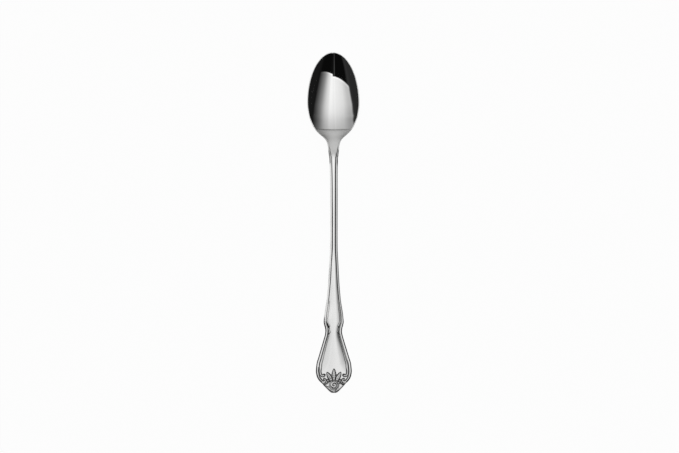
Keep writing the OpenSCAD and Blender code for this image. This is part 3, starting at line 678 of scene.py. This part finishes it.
def leaf(name, turn, length, width, teeth):
    """A leaf on a ray from the rosette's middle: a middle vein, side veins and a toothed edge."""
    ray, across = turned(np.array([0, -1]), turn), turned(np.array([1, 0]), turn)
    start = rosette_edge(turn - math.pi / 2) + leaf_gap - leaf_tuck
    t, q = np.linspace(0, 1, leaf_rows), np.linspace(-1, 1, leaf_points)
    tooth = tooth_depth * np.where(t < tooth_end, (t * teeth % 1) ** tooth_power, 0)
    half = width / 2 * curve(leaf_half_shares, t) * (1 - tooth)
    middle = np.array([0, rosette_at]) + (start + (length + leaf_tuck) * t)[:, None] * ray
    place = middle[:, None, :] + (half[:, None] * q)[..., None] * across
    from_vein = (teeth * t[:, None] - vein_lean * np.abs(q)) % 1 - 0.5
    body = (1 - np.abs(q) ** leaf_power) * (1 - midrib_depth * bell(q, midrib_width))
    veins = 1 - vein_depth * bell(from_vein, vein_width) * np.abs(q)
    height = leaf_height * curve(leaf_height_shares, t)[:, None] * body * veins
    # Painted shade along the leaf's edges, its midrib and its veins, and on its sunk corners.
    dark = np.maximum(ramp(np.abs(q), *leaf_edge_shade), midrib_shade * bell(q, midrib_line))
    dark = np.maximum(dark, vein_shade * bell(from_vein, vein_line))
    top = on_seat(place[..., 0], place[..., 1], height)
    points, faces, flat = loft(np.concatenate([top, sunk_ends(place)], axis=1))
    recess_shade = np.hstack([dark, np.ones((len(t), 2))])
    add_mesh(name, points, flipped(faces), "leaf_steel", ["leaves"], flat=flat, sharp=50, recess_shade=recess_shade)
    return middle, half * 2


def rosette_edge(angle):
    """Distance from the rosette's middle to its edge, at an angle from +x towards the tip."""
    reach = mix(rosette_reach, rosette_inset - rosette_margin, ramp(np.sin(angle), *tip_side))
    across = np.abs(np.cos(angle)) / (rosette_width / 2)
    along = np.abs(np.sin(angle)) / reach
    return (across ** rosette_squareness + along ** rosette_squareness) ** (-1 / rosette_squareness)


def petal_place(r, angle, count, phase=0):
    """Share of the way across a petal, and the distance to the nearest gap between two petals."""
    share = (angle / (2 * math.pi) * count + phase) % 1
    return share, np.minimum(share, 1 - share) * 2 * math.pi / count * r


def outer_petals(r, u, edge, twisted):
    """Height and painted shade of the outer round, whose petals overlap and are raised near their lips."""
    petal, gap = petal_place(r, twisted, petal_count)
    dish = petal_base + petal_rise * u + lip_rise * bell(u - lip_place, lip_width)
    dish = dish + petal_tilt * (petal - 0.5)
    rim = np.clip((edge - r) / petal_bevel, 0, 1)
    high = dish * rim - gap_depth * bell(gap, gap_width) * ramp(u, 0, gap_lead)
    gap_dark = bell(gap, gap_line) * ramp(u, *gap_shade_lead)
    return high, np.maximum(gap_dark, petal_edge_shade * (1 - ramp(edge - r, *petal_edge_line)))


def inner_petals(r, twisted):
    """Height and painted shade of the inner round, a low ring of petals against the heart."""
    petal, gap = petal_place(r, twisted, inner_count, inner_phase)
    band = bell(r - inner_radius, inner_half)
    high = inner_base + inner_tilt * (petal - 0.5) - inner_gap_depth * bell(gap, inner_gap_width)
    return high * band, bell(gap, inner_gap_line) * band


def rose(r, angle):
    """Height and painted shade of the rose: a rolled heart in a deep ring, then two rounds of petals."""
    edge = rosette_edge(angle)
    u = np.clip((r - heart_radius) / (edge - heart_radius), 0, 1)
    twisted = angle + petal_twist * (1 - u)
    outer, outer_dark = outer_petals(r, u, edge, twisted)
    inner, inner_dark = inner_petals(r, twisted)
    spiral = np.abs(np.sin(math.pi * (r / heart_pitch - angle / (2 * math.pi))))
    heart = heart_base + (1 - heart_base) * spiral ** heart_power * ramp(r, 0, heart_eye)
    inside = 1 - ramp(r, heart_radius - heart_blend, heart_radius)
    high = heart * inside + np.maximum(outer, inner) * (1 - inside)
    moat = moat_depth * bell(r - heart_radius - moat_offset, moat_width)
    dark = np.where(r < heart_radius - ring_offset, (1 - spiral) ** heart_shade_power,
                    np.maximum(outer_dark, inner_dark))
    ring = bell(r - heart_radius - ring_offset, ring_width)
    # Painted shade in the ring round the heart, darker on the right side and lighter on the left.
    dark = np.maximum(dark, ring * (1 - ring_fade + ring_fade * np.cos(angle)))
    return rosette_height * (high - moat * high), dark


def make_rosette():
    """The rose: rings of points round its middle, which is one point on top and one underneath."""
    angles = np.linspace(0, 2 * math.pi, rosette_points + 1)[:-1]
    edge = rosette_edge(angles)
    edge = edge * (1 - petal_notch * bell(petal_place(edge, angles, petal_count)[1], notch_width))
    r = np.linspace(0, 1, rosette_rings + 1)[1:, None] * edge[None, :]
    high, dark = rose(r, angles[None, :])
    x, s = r * np.cos(angles), rosette_at + r * np.sin(angles)
    rings = np.concatenate([on_seat(x, s, high), on_seat(x[-1:], s[-1:], -sink)])
    middle = [on_seat(0, rosette_at, rosette_height * heart_base), on_seat(0, rosette_at, -sink)]
    points = np.concatenate([rings.reshape(-1, 3), middle])
    count, last = len(angles), (len(rings) - 1) * len(angles)
    faces = tube_faces(len(rings), count)[:, [0, 3, 2, 1]].tolist()
    for i in range(count):
        k = (i + 1) % count
        faces.append([len(points) - 2, i, k])
        faces.append([len(points) - 1, last + k, last + i])
    # Painted shade, full on the sunk edge and underneath, and a lighter share at the heart's top point.
    recess_shade = np.concatenate([dark.ravel(), np.ones(count), [heart_shade, 1]])
    add_mesh("rosette_of_handle", points, faces, "rosette_steel", ["rosette"], sharp=60, recess_shade=recess_shade)


def distance_to_ornament(place, ornaments):
    """Distance of each place on the face, in (x, s), to the rosette or the nearest ornament,
    which is a middle line with widths."""
    x, from_rosette = place[..., 0], place[..., 1] - rosette_at
    away = np.hypot(x, from_rosette) - rosette_edge(np.arctan2(from_rosette, x))
    for path, widths in ornaments:
        gap = np.linalg.norm(place[:, :, None, :] - path[None, None, :, :], axis=-1) - widths / 2
        away = np.minimum(away, gap.min(axis=2))
    return np.maximum(0, away)


def make_terminal(ornaments):
    """The terminal's plate, with a fine trench round its ornament and a bevel along its edge."""
    s = np.linspace(panel_end, overall_length, terminal_rows)
    half, column = half_width(s)[:, None], s[:, None]
    x = half * np.sin(np.linspace(-1, 1, terminal_points) * math.pi / 2)
    away = distance_to_ornament(np.stack([x, column + x * 0], axis=-1), ornaments)
    from_side = half - np.abs(x)
    trench = groove_depth * bell(away - trench_offset, trench_width) * ramp(from_side, 0, trench_end)
    to_edge = from_side / slant(column)
    tip_zone = ramp(column, curl_foot - tip_lead, curl_foot + tip_lead)
    bevel = np.maximum(tip_chamfer_slope * np.maximum(0, tip_chamfer - to_edge) * tip_zone,
                       edge_drop * np.maximum(0, 1 - to_edge / flank_width))
    face = on_seat(x, column, -trench - bevel)
    # Painted shade in the trench round the ornament.
    dark = 1 - ramp(away, *trench_shade)
    add_plate("terminal_of_handle", face, dark, back_rows(s), "terminal_steel", ["terminal"])


# Shader nodes
# Numbers of a mix node's two inputs and its output, by the kind of data
MIX_SOCKETS = {"FLOAT": (2, 3, 0), "RGBA": (6, 7, 2)}


def feed(tree, socket, value):
    """Links a node's output to a socket, or sets the socket to a constant."""
    if isinstance(value, bpy.types.NodeSocket):
        tree.links.new(value, socket)
    else:
        socket.default_value = value


def node(tree, kind, inputs=(), **properties):
    """A shader node with its properties, and its inputs as pairs of (name or number, value)."""
    made = tree.nodes.new(kind)
    for key, value in properties.items():
        setattr(made, key, value)
    for key, value in inputs:
        feed(tree, made.inputs[key], value)
    return made


def math_node(tree, operation, *values):
    return node(tree, "ShaderNodeMath", enumerate(values), operation=operation).outputs[0]


def range_node(tree, value, from_ends, to_ends=(0, 1), kind="SMOOTHSTEP"):
    """Takes a value from one range to another, and stops at the ends."""
    names = ("From Min", "From Max", "To Min", "To Max")
    inputs = [("Value", value), *zip(names, (*from_ends, *to_ends))]
    return node(tree, "ShaderNodeMapRange", inputs, interpolation_type=kind).outputs[0]


def mix_node(tree, kind, share, a, b, blend_type="MIX"):
    """A mix of two numbers or two colours."""
    first, second, output = MIX_SOCKETS[kind]
    inputs = [(0, share), (first, a), (second, b)]
    return node(tree, "ShaderNodeMix", inputs, data_type=kind, blend_type=blend_type).outputs[output]


def new_material(name):
    material = bpy.data.materials.new(name)
    material.use_nodes = True
    return material


# Steel
along_grain, across_grain = (9000, 350, 9000), (1200, 6000, 3000)
line_detail, line_roughness, line_strength, line_height = 3, 0.6, 0.06, 0.00002
smear_scale, smear_detail, smear_roughness = 90, 2, (0.75, 1.3)
smear_colours = ((0.8, 0.8, 0.795, 1), (0.74, 0.74, 0.735, 1))
satin_roughness, satin_colour, satin_lead = 0.42, (0.56, 0.56, 0.555, 1), 2
# Painted shade along the length: the colour darkens towards the handle's tip, between these places along
# y, in metres.
tip_shade_places, tip_shade_levels = (-0.065, 0.03), (0.84, 1)
# Finishes: roughness, grain of the polishing lines, and the colour of the painted shade in the recesses.
plain_finish, ornament_finish = (0.085, along_grain, 0.06), (0.07, along_grain, 0.02)
finishes = {"bowl_steel": (0.045, across_grain, 0.2), "neck_steel": (0.12, along_grain, 0.15),
            "terminal_steel": ornament_finish, "scroll_steel": ornament_finish,
            "leaf_steel": ornament_finish, "rosette_steel": ornament_finish}


def y_of(station):
    """Place of a station along the spoon, in metres."""
    return (overall_length / 2 - station) * MM


def steel(name, roughness, grain, painted_shade_level):
    """Polished stainless steel with fine polishing lines and faint smears. It is satin on the neck
    and the bowl's heel. Its colour has painted shade that darkens it towards the handle's tip,
    and painted shade in its recesses."""
    material = new_material(name)
    tree = material.node_tree
    place = node(tree, "ShaderNodeTexCoord").outputs["Object"]
    along = node(tree, "ShaderNodeSeparateXYZ", [(0, place)]).outputs["Y"]
    grain_place = node(tree, "ShaderNodeMapping", [("Vector", place), ("Scale", grain)]).outputs[0]
    lines = node(tree, "ShaderNodeTexNoise", [("Vector", grain_place), ("Scale", 1),
                                              ("Detail", line_detail), ("Roughness", line_roughness)])
    smear = node(tree, "ShaderNodeTexNoise", [("Vector", place), ("Scale", smear_scale),
                                              ("Detail", smear_detail)]).outputs["Fac"]
    satin_start = y_of(neck_end), y_of(collar_start + satin_lead)
    satin_end = y_of(heel_end), y_of(heel_start)
    satin = math_node(tree, "MULTIPLY", range_node(tree, along, satin_start),
                      range_node(tree, along, satin_end, (1, 0)))
    dull = range_node(tree, smear, (0, 1), [roughness * share for share in smear_roughness], "LINEAR")
    # Painted shade that darkens the colour towards the handle's tip.
    tip_shade = range_node(tree, along, tip_shade_places, tip_shade_levels, "LINEAR")
    worn_and_shaded = mix_node(tree, "RGBA", 1, mix_node(tree, "RGBA", smear, *smear_colours), tip_shade, "MULTIPLY")
    shade = mix_node(tree, "RGBA", satin, worn_and_shaded, satin_colour)
    # Painted shade in the recesses, taken from an attribute of each mesh.
    recess_shade = node(tree, "ShaderNodeAttribute", attribute_name="recess_shade").outputs["Fac"]
    painted_shade_colour = (painted_shade_level, painted_shade_level, painted_shade_level, 1)
    bump = node(tree, "ShaderNodeBump", [("Height", lines.outputs["Fac"]), ("Strength", line_strength),
                                         ("Distance", line_height)])
    shader = tree.nodes["Principled BSDF"].inputs
    feed(tree, shader["Metallic"], 1)
    feed(tree, shader["Roughness"], mix_node(tree, "FLOAT", satin, dull, satin_roughness))
    feed(tree, shader["Base Color"], mix_node(tree, "RGBA", recess_shade, shade, painted_shade_colour))
    feed(tree, shader["Normal"], bump.outputs[0])
    return material


# Pieces
MATERIALS = {}
for m in frame["record"]["materials"]:
    MATERIALS[m["slot"]] = steel(m["slot"], *finishes.get(m["slot"], plain_finish))

# Stretches of the blank: zone, name of the piece, first and last station, rows, inner threads
stretches = [
    ("neck", "neck_of_spoon", bowl_end, neck_end, 110, False),
    ("shank", "shank_of_spoon", neck_end, shank_end, 170, False),
    ("shoulder", "shoulder_of_handle", shank_end, waist, 180, True),
    ("panel", "panel_of_handle", waist, panel_end, 160, True),
]
hook_shape = dict(depth=thread_end_width + groove_width + inner_end_width / 2, width=inner_end_width,
                  end_width=inner_end_width, rise=inner_rise, top=relief_height, drop=0,
                  foot=hook_foot, from_radius=hook_radius, to_radius=hook_radius * hook_end_share,
                  turn=hook_turn, bulge=hook_bulge)
curl_shape = dict(depth=thread_end_width / 2, width=thread_end_width,
                  end_width=thread_end_width * curl_width_share, rise=thread_height * handle_rise_share,
                  top=relief_height * curl_height_share, drop=edge_drop,
                  foot=curl_foot, from_radius=curl_radius, to_radius=curl_radius * curl_end_share,
                  turn=curl_turn, bulge=curl_bulge)

make_bowl()
for zone, piece_name, start, end, rows, has_inner in stretches:
    stretch(piece_name, np.linspace(start, end, rows), has_inner, zone + "_steel", [zone])
ornaments = [leaf("leaf_middle", 0, leaf_length, leaf_width, middle_teeth)]
for side, word in ((-1, "left"), (1, "right")):
    ornaments.append(curled_thread("hook_" + word, side, **hook_shape))
    ornaments.append(curled_thread("curl_" + word, side, **curl_shape))
    for kind, degrees, length_share, width_share, teeth in side_leaves:
        ornaments.append(leaf(kind + word, side * math.radians(degrees), leaf_length * length_share,
                              leaf_width * width_share, teeth))
make_terminal(ornaments)
make_rosette()


# Stage
floor_size, floor_grey, floor_share = 12, 0.9, 0.96
tent_radius, tent_segments, tent_rings = 5, 96, 64
window_planes = [(0.045, 1, 0.335), (0.22, 1, 0.395)]
window_step, window_softness = (0, 0.1), 0.016
border_places, border_levels = (0.02, 0.05), (1.3, 1)
window_skew = 0.55
horizon_places, horizon_levels = (0.02, 0.07), (0.4, 0)
across_levels = [(-0.94, 0), (-0.915, 0.62), (-0.85, 0.68), (-0.76, 0.82), (-0.66, 0.96), (-0.36, 1.07),
                 (0, 1.12), (0.1, 1.19), (0.235, 1.19), (0.33, 1), (0.45, 0.87), (0.55, 0.7),
                 (0.65, 0.49), (0.75, 0.3), (0.85, 0.165), (0.93, 0.05), (0.955, 0)]
along_levels = [(-1, 0.96), (0, 1), (0.2, 0.985), (0.45, 0.92), (0.6, 0.84), (0.75, 0.68), (0.86, 0.55),
                (0.97, 0.42)]
dark_levels = [(-1, 0.015), (-0.93, 0.03), (-0.87, 0.003), (-0.19, 0.003), (-0.15, 0.045), (-0.09, 0.045),
               (-0.04, 0.006), (0.3, 0.003), (0.9, 0.003), (1, 0.01)]
full_level = 1.25


def white_for_eye(tree, share):
    """A factor of at most share for rays from the camera, metal or glass, and 0 for the rest."""
    rays = node(tree, "ShaderNodeLightPath").outputs
    seen = rays["Is Camera Ray"]
    for kind in ("Is Glossy Ray", "Is Transmission Ray"):
        seen = math_node(tree, "MAXIMUM", seen, rays[kind])
    return math_node(tree, "MULTIPLY", seen, share)


def make_floor():
    material = new_material("floor_paint")
    tree = material.node_tree
    tree.nodes.clear()
    grey = (floor_grey, floor_grey, floor_grey, 1)
    paint = node(tree, "ShaderNodeBsdfDiffuse", [("Color", grey)]).outputs[0]
    glow = node(tree, "ShaderNodeEmission", [("Color", (1, 1, 1, 1)), ("Strength", 1)]).outputs[0]
    share = white_for_eye(tree, floor_share)
    blend = node(tree, "ShaderNodeMixShader", [(0, share), (1, paint), (2, glow)]).outputs[0]
    node(tree, "ShaderNodeOutputMaterial", [("Surface", blend)])
    bpy.ops.mesh.primitive_plane_add(size=floor_size, location=(0, 0, 0))
    floor = bpy.context.object
    floor.name = "floor"
    floor.data.materials.append(material)


def fill_ramp(ramp_node, stops):
    """Grey stops of a colour ramp, as (position, level)."""
    elements = ramp_node.color_ramp.elements
    while len(elements) < len(stops):
        elements.new(0.5)
    for element, (position, level) in zip(elements, stops):
        element.position = position
        element.color = (level, level, level, 1)


def level_by_direction(tree, sideways, up, stops):
    """Light level by direction, as a share of full_level. The stops are (place, level), and a
    place is -1 and 1 at the two horizons and 0 straight overhead."""
    flat = node(tree, "ShaderNodeCombineXYZ", [("X", sideways), ("Z", up)]).outputs[0]
    unit = node(tree, "ShaderNodeVectorMath", [(0, flat)], operation="NORMALIZE").outputs[0]
    place = node(tree, "ShaderNodeSeparateXYZ", [(0, unit)]).outputs["X"]
    share = range_node(tree, place, (-1, 1), kind="LINEAR")
    ramp_node = node(tree, "ShaderNodeValToRGB", [(0, share)])
    fill_ramp(ramp_node, [((p + 1) / 2, level / full_level) for p, level in stops])
    return ramp_node.outputs["Color"]


def window_part(tree, direction, x, plane, step_ends):
    """Share of the window's light on one side of the step in its edge, which lies on a plane
    through the spoon. It is 0 beyond the edge, brightest in a border along it, and 1 further in."""
    normal = Vector(plane).normalized()
    from_edge = node(tree, "ShaderNodeVectorMath", [(0, direction), (1, normal)], operation="DOT_PRODUCT")
    inside = range_node(tree, from_edge.outputs["Value"], (-window_softness, window_softness))
    border = range_node(tree, from_edge.outputs["Value"], border_places, border_levels)
    lit = math_node(tree, "MULTIPLY", inside, border)
    return math_node(tree, "MULTIPLY", lit, range_node(tree, x, window_step, step_ends))


def tent_strength(tree):
    """Light of the tent by direction: a wide window overhead that fades towards the right, a faint
    horizon, and dark cards round them. The window's fade turns with y on its right side."""
    place = node(tree, "ShaderNodeTexCoord").outputs["Object"]
    direction = node(tree, "ShaderNodeVectorMath", [(0, place)], operation="NORMALIZE").outputs[0]
    axis = node(tree, "ShaderNodeSeparateXYZ", [(0, direction)]).outputs
    x, y, z = axis["X"], axis["Y"], axis["Z"]
    right_part = math_node(tree, "MAXIMUM", x, 0)
    skew = math_node(tree, "MULTIPLY", right_part, y)
    skewed = math_node(tree, "MULTIPLY_ADD", skew, -window_skew, x)
    level = math_node(tree, "MULTIPLY", level_by_direction(tree, skewed, z, across_levels),
                      level_by_direction(tree, y, z, along_levels))
    left_plane, right_plane = window_planes
    window = math_node(tree, "ADD", window_part(tree, direction, x, left_plane, (1, 0)),
                       window_part(tree, direction, x, right_plane, (0, 1)))
    dark = level_by_direction(tree, x, z, dark_levels)
    light = math_node(tree, "MULTIPLY_ADD", level, window, dark)
    horizon = range_node(tree, z, horizon_places, horizon_levels)
    return math_node(tree, "MULTIPLY", math_node(tree, "MAXIMUM", light, horizon), full_level ** 2)


def make_tent():
    """A soft tent of light round the stage, which the camera doesn't see."""
    material = new_material("tent_light")
    tree = material.node_tree
    tree.nodes.clear()
    glow = node(tree, "ShaderNodeEmission", [("Strength", tent_strength(tree))]).outputs[0]
    node(tree, "ShaderNodeOutputMaterial", [("Surface", glow)])
    bpy.ops.mesh.primitive_uv_sphere_add(segments=tent_segments, ring_count=tent_rings,
                                         radius=tent_radius, location=(0, 0, 0))
    tent = bpy.context.object
    tent.name = "tent"
    tent.data.materials.append(material)
    tent.visible_camera = False
    tent.visible_shadow = False


def make_world():
    world = bpy.data.worlds.new("world")
    bpy.context.scene.world = world
    world.use_nodes = True
    tree = world.node_tree
    back = tree.nodes["Background"]
    back.inputs["Color"].default_value = (1, 1, 1, 1)
    tree.links.new(white_for_eye(tree, 1), back.inputs["Strength"])


# Camera
camera_lens, camera_sensor = 150, 36
camera_tilt, camera_roll = math.radians(-3), math.radians(-0.232)
camera_aim = Vector((3.6, -2.05, 0)) * MM
camera_distance = 1.5838


def make_camera():
    """Nearly straight above the spoon, slightly from its left side."""
    data = bpy.data.cameras.new("camera")
    data.lens = camera_lens
    data.sensor_width = camera_sensor
    camera = bpy.data.objects.new("camera", data)
    bpy.context.scene.collection.objects.link(camera)
    back = Vector((math.sin(camera_tilt), 0, math.cos(camera_tilt)))
    camera.location = camera_aim + back * camera_distance
    turn = Matrix.Rotation(camera_tilt, 3, "Y") @ Matrix.Rotation(camera_roll, 3, "Z")
    camera.rotation_euler = turn.to_euler()
    bpy.context.scene.camera = camera


make_floor()
make_tent()
make_world()
make_camera()
bpy.context.scene.view_settings.view_transform = "Standard"
